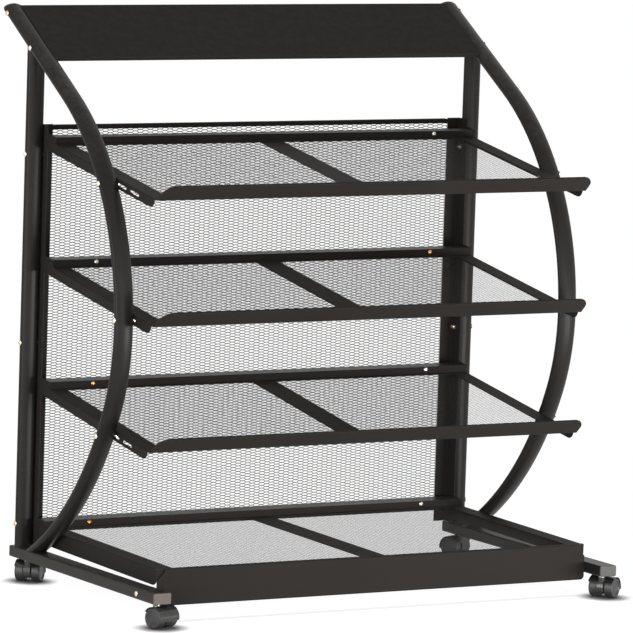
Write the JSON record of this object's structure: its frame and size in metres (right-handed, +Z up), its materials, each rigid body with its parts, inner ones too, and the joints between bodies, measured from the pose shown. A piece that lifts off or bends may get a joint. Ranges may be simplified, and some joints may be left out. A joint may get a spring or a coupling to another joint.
{
  "type": "periodical display rack",
  "caption": "Wheeled periodical rack: bowed tube side frames, sloping mesh shelves with turned-up lips, a deep-fronted bottom tray, a tilted header and a mesh back.",
  "frame": {"origin": "centre of the bounding box on the floor under the wheels", "axes": "+X to the right of someone facing the rack, +Y to the back, +Z up"},
  "size_m": [0.9726, 0.6498, 1.0312],
  "materials": {
    "black_powder_coat": "satin black powder coat on steel",
    "plug_plastic": "matte brown-grey moulded plastic",
    "plated_screw": "bright plated steel",
    "plated_steel": "bright plated steel",
    "caster_nylon": "black moulded nylon",
    "caster_tread": "dark grey wheel"
  },
  "bodies": {
    "rack": {"left_base_rail": "black_powder_coat", "right_base_rail": "black_powder_coat", "left_post": "black_powder_coat", "right_post": "black_powder_coat", "left_bow": "black_powder_coat", "right_bow": "black_powder_coat", "left_stile": "black_powder_coat", "right_stile": "black_powder_coat", "rail_end_plugs": "plug_plastic", "bow_end_plugs": "plug_plastic", "header_panel": "black_powder_coat", "header_brackets": "black_powder_coat", "back_top_rail": "black_powder_coat", "back_bottom_rail": "black_powder_coat", "back_mesh": "black_powder_coat", "rear_cross_bars": "black_powder_coat", "frame_screws": "plated_screw", "frame_nuts": "plated_screw", "flange_screws": "plated_screw", "lower_shelf_sides": "black_powder_coat", "lower_shelf_rear_flange": "black_powder_coat", "lower_shelf_lip": "black_powder_coat", "lower_shelf_strap": "black_powder_coat", "lower_shelf_mesh": "black_powder_coat", "middle_shelf_sides": "black_powder_coat", "middle_shelf_rear_flange": "black_powder_coat", "middle_shelf_lip": "black_powder_coat", "middle_shelf_strap": "black_powder_coat", "middle_shelf_mesh": "black_powder_coat", "top_shelf_sides": "black_powder_coat", "top_shelf_rear_flange": "black_powder_coat", "top_shelf_lip": "black_powder_coat", "top_shelf_strap": "black_powder_coat", "top_shelf_mesh": "black_powder_coat", "tray_sides": "black_powder_coat", "tray_apron": "black_powder_coat", "tray_rear_flange": "black_powder_coat", "tray_strap": "black_powder_coat", "tray_mesh": "black_powder_coat", "front_left_caster_stem": "plated_steel", "front_right_caster_stem": "plated_steel", "rear_left_caster_stem": "plated_steel", "rear_right_caster_stem": "plated_steel"},
    "front_left_swivel": {"front_left_caster_hood": "caster_nylon", "front_left_caster_axle": "plated_steel"},
    "front_left_wheel_a": {"front_left_caster_wheel_a": "caster_tread"},
    "front_left_wheel_b": {"front_left_caster_wheel_b": "caster_tread"},
    "front_right_swivel": {"front_right_caster_hood": "caster_nylon", "front_right_caster_axle": "plated_steel"},
    "front_right_wheel_a": {"front_right_caster_wheel_a": "caster_tread"},
    "front_right_wheel_b": {"front_right_caster_wheel_b": "caster_tread"},
    "rear_left_swivel": {"rear_left_caster_hood": "caster_nylon", "rear_left_caster_axle": "plated_steel"},
    "rear_left_wheel_a": {"rear_left_caster_wheel_a": "caster_tread"},
    "rear_left_wheel_b": {"rear_left_caster_wheel_b": "caster_tread"},
    "rear_right_swivel": {"rear_right_caster_hood": "caster_nylon", "rear_right_caster_axle": "plated_steel"},
    "rear_right_wheel_a": {"rear_right_caster_wheel_a": "caster_tread"},
    "rear_right_wheel_b": {"rear_right_caster_wheel_b": "caster_tread"}
  },
  "joints": [
    {"name": "front_left_caster_turn", "type": "hinge", "parent": "rack", "child": "front_left_swivel", "pos_m": [-0.46182, -0.28639, 0.0311], "axis": [0, 0, 1], "continuous": true},
    {"name": "front_left_wheel_a_roll", "type": "hinge", "parent": "front_left_swivel", "child": "front_left_wheel_a", "pos_m": [-0.44367, -0.29255, 0.0185], "axis": [0.9397, 0.342, 0], "continuous": true},
    {"name": "front_left_wheel_b_roll", "type": "hinge", "parent": "front_left_swivel", "child": "front_left_wheel_b", "pos_m": [-0.47177, -0.30278, 0.0185], "axis": [0.9397, 0.342, 0], "continuous": true},
    {"name": "front_right_caster_turn", "type": "hinge", "parent": "rack", "child": "front_right_swivel", "pos_m": [0.44618, -0.28639, 0.0311], "axis": [0, 0, 1], "continuous": true},
    {"name": "front_right_wheel_a_roll", "type": "hinge", "parent": "front_right_swivel", "child": "front_right_wheel_a", "pos_m": [0.44843, -0.26735, 0.0185], "axis": [-0.5299, 0.848, 0], "continuous": true},
    {"name": "front_right_wheel_b_roll", "type": "hinge", "parent": "front_right_swivel", "child": "front_right_wheel_b", "pos_m": [0.46427, -0.2927, 0.0185], "axis": [-0.5299, 0.848, 0], "continuous": true},
    {"name": "rear_left_caster_turn", "type": "hinge", "parent": "rack", "child": "rear_left_swivel", "pos_m": [-0.46182, 0.20161, 0.0311], "axis": [0, 0, 1], "continuous": true},
    {"name": "rear_left_wheel_a_roll", "type": "hinge", "parent": "rear_left_swivel", "child": "rear_left_wheel_a", "pos_m": [-0.46391, 0.22067, 0.0185], "axis": [-0.7071, 0.7071, 0], "continuous": true},
    {"name": "rear_left_wheel_b_roll", "type": "hinge", "parent": "rear_left_swivel", "child": "rear_left_wheel_b", "pos_m": [-0.44277, 0.19953, 0.0185], "axis": [-0.7071, 0.7071, 0], "continuous": true},
    {"name": "rear_right_caster_turn", "type": "hinge", "parent": "rack", "child": "rear_right_swivel", "pos_m": [0.44618, 0.20161, 0.0311], "axis": [0, 0, 1], "continuous": true},
    {"name": "rear_right_wheel_a_roll", "type": "hinge", "parent": "rear_right_swivel", "child": "rear_right_wheel_a", "pos_m": [0.42764, 0.2065, 0.0185], "axis": [-0.9135, -0.4067, 0], "continuous": true},
    {"name": "rear_right_wheel_b_roll", "type": "hinge", "parent": "rear_right_swivel", "child": "rear_right_wheel_b", "pos_m": [0.45495, 0.21866, 0.0185], "axis": [-0.9135, -0.4067, 0], "continuous": true}
  ]
}
